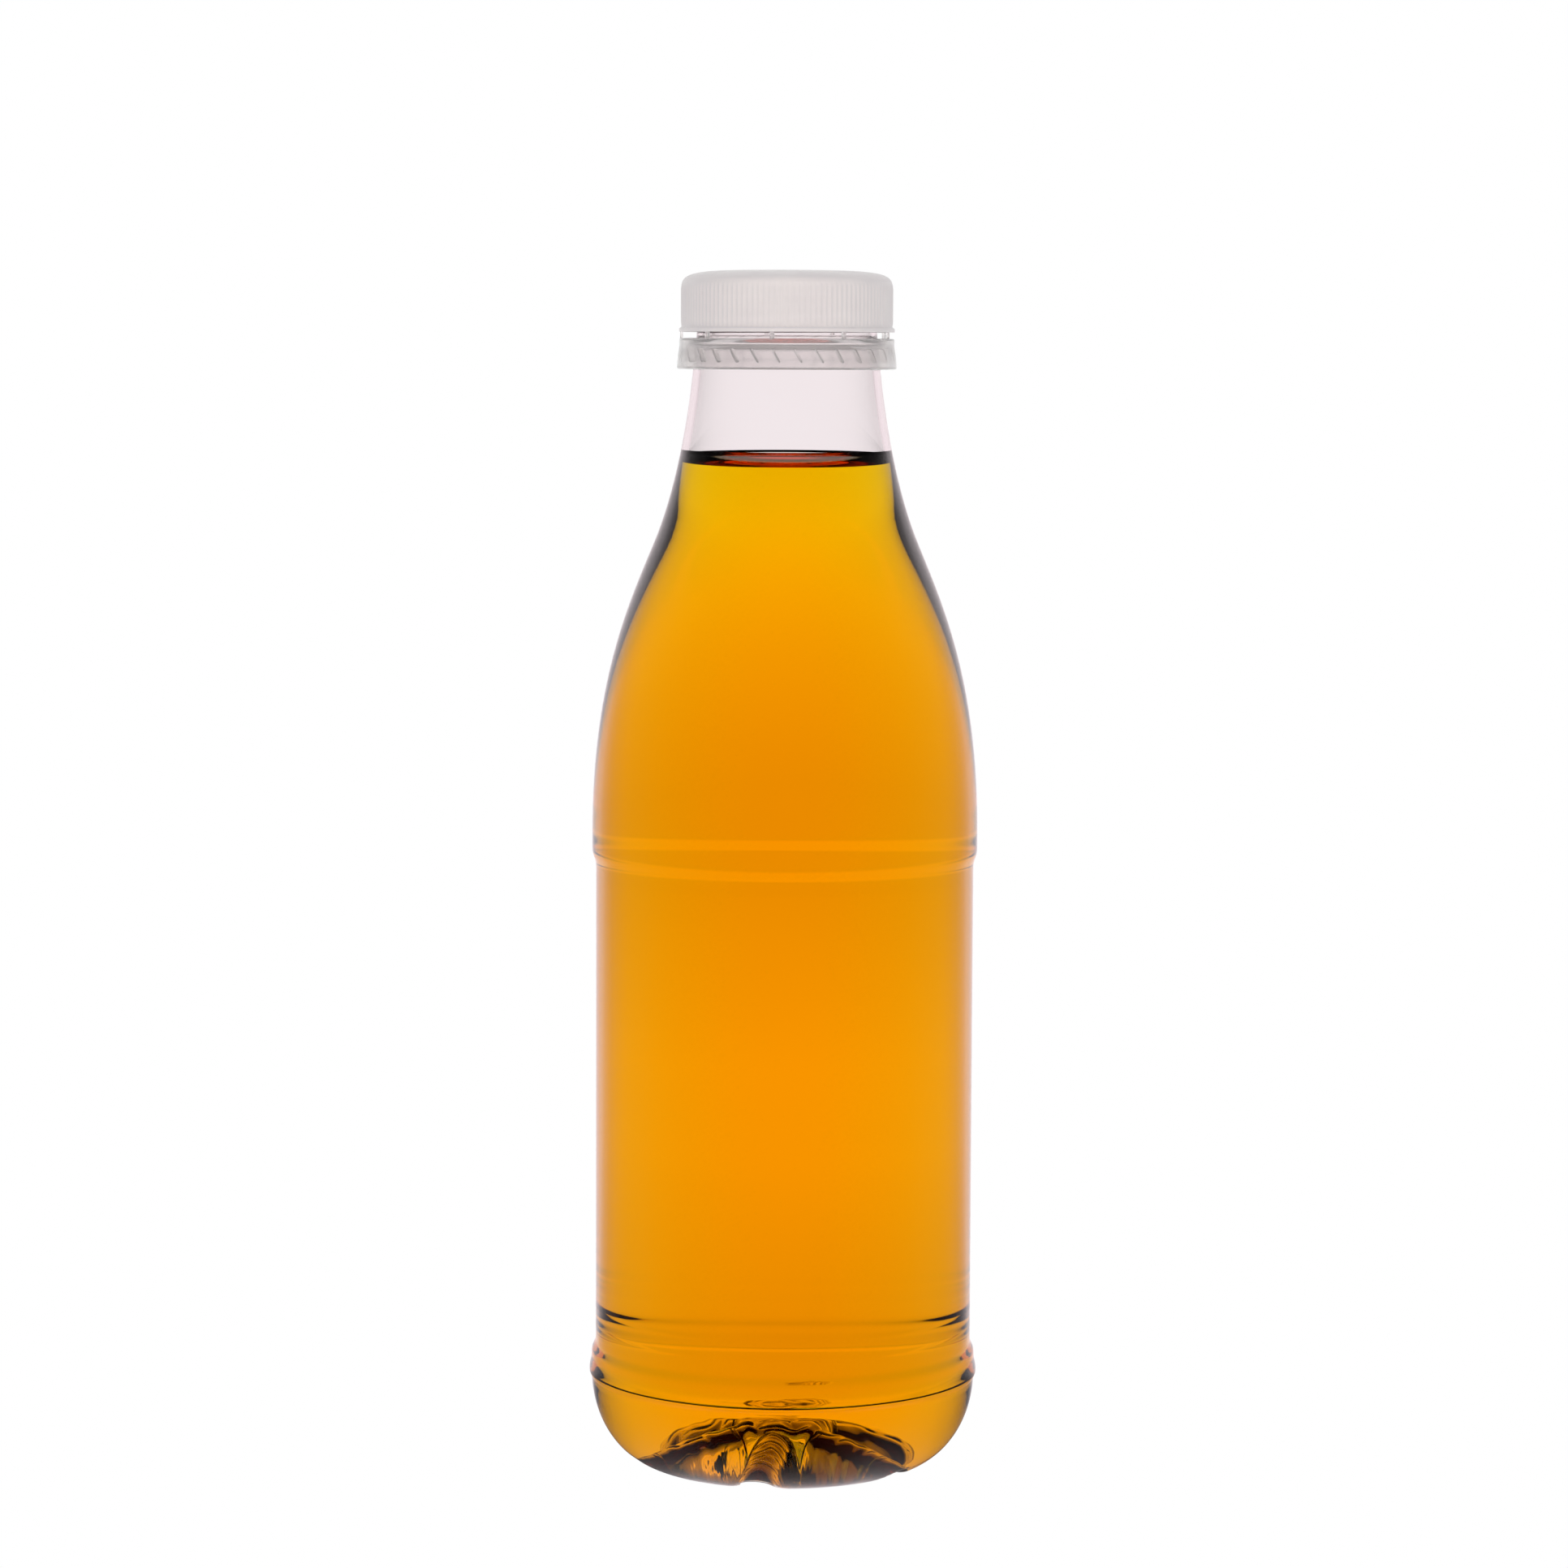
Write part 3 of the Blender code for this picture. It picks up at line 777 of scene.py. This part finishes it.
@dataclass
class BlownShell:
    """The clear shell: one surface that runs up the inside, over the lip and down the outside."""

    form: BottleForm
    finish: ClearPlastic

    def thread(self, radii: np.ndarray, heights: np.ndarray, angles: np.ndarray) -> np.ndarray:
        """Radii with a right-handed thread that fades out at both ends."""
        form = self.form
        ridge = thread_ridge(heights, angles, form.thread_lead, form.thread_start, form.thread_width)
        held = gate(heights, form.thread_low, form.thread_high, form.thread_runout)
        return radii + form.thread_height * ridge * held

    def build(self) -> bpy.types.Object:
        """Makes the shell and gives it its finish.

        Returns:
            The shell, which stands for the CAD bottle.
        """
        form, angles = self.form, self.form.around_grooves()
        neck = form.neck()
        outside = strung(neck[form.worth_keeping(neck)], form.body(Wall.OUTSIDE))
        inside = form.body(Wall.INSIDE)[::-1]
        wall_end, bore_start = tuple(inside[-1]), (form.bore_radius, form.bore_start_z)
        wall_handle, bore_handle = ((at[0], z) for at, z in zip((wall_end, bore_start), form.bore_handles))
        bore = cubic(wall_end, wall_handle, bore_handle, bore_start, 14)
        rim_middle = (form.bore_radius + form.rim_round, form.mouth_z - form.rim_round)
        inside = strung(inside, bore, ellipse_arc(rim_middle, (form.rim_round, form.rim_round), 180, 90, 5))
        grid_radii, grid_heights = spun(np.concatenate([inside, outside]), form.columns)
        split = len(inside)
        grid_radii[split:] = self.thread(grid_radii[split:], grid_heights[split:], angles)
        grid_heights[:split] = form.relief(grid_radii[:split], grid_heights[:split], angles, form.body_wall)
        grid_heights[split:] = form.relief(grid_radii[split:], grid_heights[split:], angles, 0.0)
        shell = turned_piece("bottle_shell", grid_radii, grid_heights, angles, Ends.POLES)
        shell.data.materials.append(self.finish.material())
        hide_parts("bottle")
        return shell


@dataclass
class JuiceFill:
    """The juice: it reaches just into the wall, and its top climbs the wall in a meniscus."""

    form: BottleForm
    finish: AmberJuice
    level: float
    sunk: float = 1.1 * MM
    climb: float = 3.4 * MM
    climb_length: float = 1.3 * MM
    reach: float = 0.06 * MM
    first_step: float = 0.05 * MM
    last_ring: float = 0.999
    rings: int = 44

    def build(self) -> bpy.types.Object:
        """Makes the juice and gives it its finish.

        Its top is level + climb times exp(-distance from the wall / climb length). The level lies a little
        lower than the solid's, which has no meniscus, so both hold the same amount.

        Returns:
            The juice, which stands for the CAD juice.
        """
        form, angles = self.form, self.form.around_grooves()
        wall = form.body(Wall.INSIDE, self.reach)
        level = self.level - self.sunk
        edge_z = level + self.climb
        below = wall[wall[:, 1] < edge_z]
        upper = wall[wall[:, 1] > form.flank_z][::-1]
        edge = np.interp(edge_z, upper[:, 1], upper[:, 0])
        rings = np.geomspace(self.first_step, edge * self.last_ring, self.rings)
        away = np.concatenate([[0.0], rings, [edge]])
        top = np.stack([edge - away, level + self.climb * np.exp(-away / self.climb_length)], axis=1)[::-1]
        radii, heights = spun(strung(top, below), form.columns)
        heights = form.relief(radii, heights, angles, form.body_wall - self.reach)
        juice = turned_piece("juice_fill", radii, heights, angles, Ends.POLES)
        juice.data.materials.append(self.finish.material())
        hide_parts("juice")
        return juice


@dataclass
class ScrewCap:
    """The milky cap and its tamper band, with ribs, thread, bridges and flaps."""

    top_z: float
    finish: MilkyPlastic
    band_finish: MilkyPlastic
    radius: float = 20.29 * MM
    flat_radius: float = 9.0 * MM
    crown_reach: float = 8.5 * MM
    crown_drop: float = 0.7 * MM
    edge_z: float = 229.9 * MM
    plate: float = 1.6 * MM
    inner_radius: float = 19.25 * MM
    lip_radius: float = 20.8 * MM
    lip_top_z: float = 222.1 * MM
    lip_height: float = 0.5 * MM
    bottom_z: float = 220.95 * MM
    foot_round: float = 0.2 * MM
    corner_round: float = 0.5 * MM
    ribs: int = 120
    rib_proud: float = 0.15 * MM
    rib_narrowing: float = 1.5
    rib_radius: float = 20.09 * MM
    rib_low: float = 222.2 * MM
    rib_runout: float = 0.8 * MM
    thread_lead: float = 4.2 * MM
    thread_height: float = 0.8 * MM
    thread_start: float = -0.5 * MM
    thread_width: float = 0.5 * MM
    thread_low: float = 222.6 * MM
    thread_high: float = 229.4 * MM
    thread_runout: float = 1.0 * MM
    band_top_z: float = 219.75 * MM
    band_bottom_z: float = 213.85 * MM
    band_top_radius: float = 20.7 * MM
    band_bottom_radius: float = 21.15 * MM
    band_inner_radius: float = 19.9 * MM
    band_edge: float = 0.25 * MM
    band_foot: float = 0.3 * MM
    band_columns: int = 360
    bridges: int = 9
    bridge_turn: float = math.radians(-88)
    bridge_half: tuple = (0.45 * MM, 0.28 * MM)
    bridge_sunk: float = 0.3 * MM
    flaps: int = 30
    flap_z: float = 216.4 * MM
    flap_half: tuple = (0.22 * MM, 0.6 * MM, 1.5 * MM)
    flap_lean: float = math.radians(30)
    tie_inset: float = 0.4 * MM
    columns: int = 960

    def dress(self, piece: bpy.types.Object, finish: MilkyPlastic) -> bpy.types.Object:
        """Gives a piece of the closure its finish, shared by name between pieces, and hides the CAD cap that
        it stands for.
        """
        found = bpy.data.materials.get(finish.name)
        piece.data.materials.append(found or finish.material())
        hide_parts("screw_cap")
        return piece

    def shell(self) -> bpy.types.Object:
        """The cap: over the crown, down the ribbed side, round the lip and up inside over the thread.

        Returns:
            The cap's piece.
        """
        flat_end, crown_end = (self.flat_radius, self.top_z), (self.radius, self.edge_z)
        crown_start_handle = (self.flat_radius + self.crown_reach, self.top_z)
        crown_end_handle = (self.radius, self.top_z - self.crown_drop)
        side_end, lip = (self.radius, self.lip_top_z), (self.lip_radius, self.bottom_z + self.lip_height)
        foot_outer = (self.lip_radius - self.foot_round, self.bottom_z)
        foot_inner = (self.inner_radius, self.bottom_z)
        foot_size, corner_size = (self.foot_round, self.foot_round), (self.corner_round, self.corner_round)
        ceiling = self.top_z - self.plate
        corner = (self.inner_radius - self.corner_round, ceiling - self.corner_round)
        rows = strung(
            straight((0, self.top_z), flat_end, 3),
            cubic(flat_end, crown_start_handle, crown_end_handle, crown_end, 16),
            straight(crown_end, side_end, 12),
            upright_blend(side_end, lip, 6),
            ellipse_arc((foot_outer[0], self.bottom_z + self.foot_round), foot_size, 0, -90, 4),
            straight(foot_outer, foot_inner, 3),
            straight(foot_inner, (self.inner_radius, corner[1]), 30),
            ellipse_arc(corner, corner_size, 0, 90, 4),
            straight((corner[0], ceiling), (0, ceiling), 3),
        )
        angles = around(self.columns)
        radii, heights = spun(rows, self.columns)
        wave = 0.5 + 0.5 * np.cos(self.ribs * angles)
        outer = radii > self.rib_radius
        ribbed = gate(heights, self.rib_low, self.edge_z, self.rib_runout) * outer
        inner = np.abs(radii - self.inner_radius) < SAME_PLACE
        ridge = thread_ridge(heights, angles, self.thread_lead, self.thread_start, self.thread_width)
        threaded = ridge * gate(heights, self.thread_low, self.thread_high, self.thread_runout) * inner
        radii = radii + self.rib_proud * wave**self.rib_narrowing * ribbed - self.thread_height * threaded
        return self.dress(turned_piece("cap_shell", radii, heights, angles, Ends.POLES), self.finish)

    def band(self) -> bpy.types.Object:
        """The tamper band: a closed ring that widens downwards, with a bead round its foot.

        Returns:
            The band's piece.
        """
        edge, foot = self.band_edge, self.band_foot
        edge_middle = (self.band_top_radius - edge, self.band_top_z - edge)
        foot_middle = (self.band_bottom_radius - foot, self.band_bottom_z + foot)
        side_top = (self.band_top_radius, edge_middle[1])
        side_bottom = (self.band_bottom_radius, self.band_bottom_z + 2 * foot)
        foot_outer = (foot_middle[0], self.band_bottom_z)
        foot_inner = (self.band_inner_radius, self.band_bottom_z)
        rows = strung(
            ellipse_arc(edge_middle, (edge, edge), 90, 0, 5),
            upright_blend(side_top, side_bottom, 14),
            ellipse_arc(foot_middle, (foot, foot), 0, -90, 6),
            straight(foot_outer, foot_inner, 3),
            straight(foot_inner, (self.band_inner_radius, self.band_top_z), 12),
        )
        radii, heights = spun(rows, self.band_columns)
        ring = turned_piece("tamper_band", radii, heights, around(self.band_columns), Ends.LOOP)
        return self.dress(ring, self.band_finish)

    def ties(self) -> bpy.types.Object:
        """The thin bridges across the slit, as rounded blocks.

        Returns:
            The bridges' piece.
        """
        turns = self.bridge_turn + around(self.bridges)
        low, high = self.band_top_z - self.bridge_sunk, self.bottom_z + self.bridge_sunk
        block = block_grid((*self.bridge_half, (high - low) / 2), power=0.5, rows=9, columns=16)
        radius = self.band_top_radius - self.tie_inset
        points, faces = repeated(*block, facing_out(turns, radius, (low + high) / 2, 0.0))
        return self.dress(piece_from("band_bridges", points, faces), self.band_finish)

    def catches(self) -> bpy.types.Object:
        """The leaning flaps inside the band, which catch under the neck's bead.

        Returns:
            The flaps' piece.
        """
        turns = around(self.flaps) + FULL_TURN / self.flaps / 2
        block = block_grid(self.flap_half, power=0.45, rows=9, columns=16)
        radius = self.band_inner_radius - self.tie_inset
        points, faces = repeated(*block, facing_out(turns, radius, self.flap_z, self.flap_lean))
        return self.dress(piece_from("band_flaps", points, faces), self.band_finish)

    def build(self) -> list[bpy.types.Object]:
        """Makes every piece of the closure.

        Returns:
            The pieces.
        """
        return [self.shell(), self.band(), self.ties(), self.catches()]


def computed(tree: bpy.types.NodeTree, operation: str, *terms: object) -> bpy.types.NodeSocket:
    """The result of one arithmetic node.

    Args:
        tree: the tree that gets the node.
        operation: the node's operation.
        terms: sockets or numbers, in order.

    Returns:
        The result's socket.
    """
    node = tree.nodes.new("ShaderNodeMath")
    node.operation = operation
    for term, socket in zip(terms, node.inputs):
        if isinstance(term, bpy.types.NodeSocket):
            tree.links.new(term, socket)
        else:
            socket.default_value = term
    return node.outputs["Value"]


def grey_ramp(tree: bpy.types.NodeTree, source: bpy.types.NodeSocket, stops: tuple) -> bpy.types.NodeSocket:
    """A grey that follows a value from 0 to 1.

    Args:
        tree: the tree that gets the node.
        source: the value.
        stops: (value, grey) pairs in rising order.

    Returns:
        The colour's socket.
    """
    ramp = tree.nodes.new("ShaderNodeValToRGB")
    elements = ramp.color_ramp.elements
    while len(elements) < len(stops):
        elements.new(0.5)
    for element, (position, _) in zip(elements, stops):
        element.position = position
    for element, (_, grey) in zip(elements, stops):
        element.color = (grey, grey, grey, 1.0)
    tree.links.new(source, ramp.inputs["Fac"])
    return ramp.outputs["Color"]


def chosen(
    tree: bpy.types.NodeTree,
    share: bpy.types.NodeSocket,
    first: bpy.types.NodeSocket,
    second: bpy.types.NodeSocket,
) -> bpy.types.NodeSocket:
    """The first colour where share is zero and the second where it is one."""
    mix = tree.nodes.new("ShaderNodeMix")
    mix.data_type = "RGBA"
    tree.links.new(share, mix.inputs["Factor"])
    tree.links.new(first, mix.inputs["A"])
    tree.links.new(second, mix.inputs["B"])
    return mix.outputs["Result"]


def product(tree: bpy.types.NodeTree, first: bpy.types.NodeSocket, second: object) -> bpy.types.NodeSocket:
    """The two colours multiplied, part by part. The second may be a fixed colour."""
    mix = tree.nodes.new("ShaderNodeMix")
    mix.data_type = "RGBA"
    mix.blend_type = "MULTIPLY"
    mix.inputs["Factor"].default_value = 1.0
    tree.links.new(first, mix.inputs["A"])
    if isinstance(second, bpy.types.NodeSocket):
        tree.links.new(second, mix.inputs["B"])
    else:
        mix.inputs["B"].default_value = (*second, 1.0)
    return mix.outputs["Result"]


@dataclass
class Studio:
    """The white sweep, the soft light and the camera.

    A clear bottle shows what stands round it, so sharp rays see soft ramps: greyer towards both sides and
    overhead, and darker still where the front wall mirrors. The eye sees plain white.
    """

    distance: float = 912.0 * MM
    height: float = 218.0 * MM
    aim_z: float = 133.5 * MM
    aim_x: float = -0.2 * MM
    field: float = math.radians(18.9)
    roll: float = math.radians(0.24)
    front_faces: float = 3.5
    empty_faces: float = 4.5
    floor_drop: float = 0.3 * MM
    floor_tone: tuple = (0.78, 0.8)
    floor_size: float = 3.0
    floor_grain: float = 3.0
    floor_glow: float = 0.4
    through_sides: tuple = ((0.0, 0.98), (0.54, 0.94), (0.7, 0.85), (0.9, 0.68), (1.0, 0.62))
    depth_reach: float = 1.5
    # Painted light and shadow for sharp rays, by distance from the axis over depth_reach: a painted shadow
    # under the bottle and a brighter ring further out.
    painted_floor_shading: tuple = (
        (0.0, 0.72), (0.022, 0.66), (0.035, 0.72), (0.073, 0.83), (0.1, 0.87),
        (0.24, 0.99), (0.35, 1.0), (0.46, 0.95), (0.69, 0.88),
    )
    overhead: tuple = ((0.0, 1.0), (0.36, 1.0), (0.5, 0.7), (0.64, 0.3), (0.85, 0.15))
    clear_loss: float = 0.07
    mirrored_tint: tuple = (1.08, 0.97, 1.0)
    mirrored_sides: tuple = ((0.0, 1.0), (0.58, 0.9), (0.7, 0.55), (0.8, 0.3), (0.97, 0.1))

    def front_share(self, tree: bpy.types.NodeTree, seen: bpy.types.Node) -> bpy.types.NodeSocket:
        """One for sharp rays that have crossed few faces, as the front wall mirrors them, else zero."""
        short = computed(tree, "LESS_THAN", seen.outputs["Transmission Depth"], self.front_faces)
        return computed(tree, "MULTIPLY", short, seen.outputs["Is Singular Ray"])

    def camera(self) -> None:
        """A camera in front of the bottle, a little above its middle and looking slightly down."""
        data = bpy.data.cameras.new("photo_camera")
        data.sensor_width = 36.0
        data.lens = data.sensor_width / 2 / math.tan(self.field / 2)
        data.clip_start, data.clip_end = 0.01, 50.0
        camera = bpy.data.objects.new("photo_camera", data)
        camera.location = (self.aim_x, -self.distance, self.height)
        pitch = math.atan2(self.height - self.aim_z, self.distance)
        camera.rotation_mode = "XYZ"
        camera.rotation_euler = (math.pi / 2 - pitch, 0.0, 0.0)
        camera.rotation_euler.rotate_axis("Z", self.roll)
        bpy.context.scene.collection.objects.link(camera)
        bpy.context.scene.camera = camera

    def floor(self) -> None:
        """A plain floor just under the pads: clean white to the eye, lit grey that glows a little to soft
        rays, and painted light and shade to sharp rays through the bottle, with a painted shadow under it, a
        brighter ring further out, greyer sides, and a darker pink-tinted ramp where the front wall mirrors.
        """
        size, drop = self.floor_size, -self.floor_drop
        corners = [(-size, -size, drop), (size, -size, drop), (size, size, drop), (-size, size, drop)]
        mesh = bpy.data.meshes.new("white_floor")
        mesh.from_pydata(corners, [], [(0, 1, 2, 3)])
        floor = bpy.data.objects.new("white_floor", mesh)
        bpy.context.scene.collection.objects.link(floor)
        sheet = Sheet("white_floor")
        sheet.set(roughness=0.9, emission_color=(1.0, 1.0, 1.0, 1.0), emission_strength=self.floor_glow)
        greys = [(tone, tone, tone) for tone in self.floor_tone]
        sheet.feed("Base Color", sheet.blended(sheet.noise(self.floor_grain), *greys))
        tree = sheet.material.node_tree
        split = sheet.add("ShaderNodeSeparateXYZ")
        sheet.links.new(sheet.place.outputs["Object"], split.inputs["Vector"])
        squares = [computed(tree, "POWER", split.outputs[axis], 2) for axis in ("X", "Y")]
        away = computed(tree, "SQRT", computed(tree, "ADD", *squares))
        side = computed(tree, "DIVIDE", computed(tree, "ABSOLUTE", split.outputs["X"]), away)
        # Painted shadow under the bottle and a painted brighter ring further out, for sharp rays only.
        ahead = grey_ramp(tree, computed(tree, "DIVIDE", away, self.depth_reach), self.painted_floor_shading)
        # Painted shade: greyer towards the sides.
        light = product(tree, grey_ramp(tree, side, self.through_sides), ahead)
        mirrored = product(tree, grey_ramp(tree, side, self.mirrored_sides), self.mirrored_tint)
        seen = sheet.add("ShaderNodeLightPath")
        # Painted light: the emission that sharp rays see in place of the lit floor.
        painted_floor_light = sheet.add("ShaderNodeEmission", strength=1.0)
        sharp = chosen(tree, self.front_share(tree, seen), light, mirrored)
        sheet.links.new(sharp, painted_floor_light.inputs["Color"])
        clean = sheet.add("ShaderNodeEmission", strength=1.0)
        last = sheet.shader.outputs["BSDF"]
        for share, shader in (("Is Singular Ray", painted_floor_light), ("Is Camera Ray", clean)):
            mixed = sheet.add("ShaderNodeMixShader")
            sheet.links.new(seen.outputs[share], mixed.inputs[0])
            sheet.links.new(last, mixed.inputs[1])
            sheet.links.new(shader.outputs["Emission"], mixed.inputs[2])
            last = mixed.outputs["Shader"]
        sheet.links.new(last, sheet.output.inputs["Surface"])
        mesh.materials.append(sheet.material)

    def light(self) -> None:
        """Soft light all round: white before and behind, greyer to both sides, and a white backdrop."""
        world = bpy.data.worlds.new("studio")
        world.use_nodes = True
        tree = world.node_tree
        place = tree.nodes.new("ShaderNodeTexCoord")
        split = tree.nodes.new("ShaderNodeSeparateXYZ")
        tree.links.new(place.outputs["Generated"], split.inputs["Vector"])
        side = computed(tree, "ABSOLUTE", split.outputs["X"])
        seen = tree.nodes.new("ShaderNodeLightPath")
        through = grey_ramp(tree, side, self.through_sides)
        mirrored = product(tree, grey_ramp(tree, side, self.mirrored_sides), self.mirrored_tint)
        high = grey_ramp(tree, split.outputs["Z"], self.overhead)
        empty = computed(tree, "LESS_THAN", seen.outputs["Transmission Depth"], self.empty_faces)
        kept = computed(tree, "SUBTRACT", 1.0, computed(tree, "MULTIPLY", empty, self.clear_loss))
        ahead = product(tree, chosen(tree, self.front_share(tree, seen), through, mirrored), high)
        sharp = product(tree, ahead, kept)
        lit = chosen(tree, seen.outputs["Is Singular Ray"], through, sharp)
        white = tree.nodes.new("ShaderNodeRGB")
        white.outputs["Color"].default_value = (1.0, 1.0, 1.0, 1.0)
        final = chosen(tree, seen.outputs["Is Camera Ray"], lit, white.outputs["Color"])
        tree.links.new(final, tree.nodes["Background"].inputs["Color"])
        bpy.context.scene.world = world
        bpy.context.scene.view_settings.view_transform = "Standard"

    def build(self) -> None:
        """Sets up the floor, the light and the camera."""
        self.floor()
        self.light()
        self.camera()


def main() -> None:
    """Builds the bottle's pieces in order, then the studio."""
    logging.basicConfig(level=logging.INFO, format="%(name)s: %(message)s")
    bottle_top, cap_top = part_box("bottle")[1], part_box("screw_cap")[1]
    form = BottleForm(mouth_z=bottle_top[2], bumper_radius=bottle_top[0])
    BlownShell(form, ClearPlastic()).build()
    JuiceFill(form, AmberJuice(), level=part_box("juice")[1][2]).build()
    band_finish = MilkyPlastic(
        name="milky_band",
        bright=(1.0, 0.965, 0.96),
        dull=(0.97, 0.93, 0.93),
        rim=(1.0, 1.0, 1.0),
        through=0.84,
        blur=(0.13, 0.18),
    )
    ScrewCap(cap_top[2], MilkyPlastic(), band_finish).build()
    Studio().build()


if __name__ == "__main__":
    main()
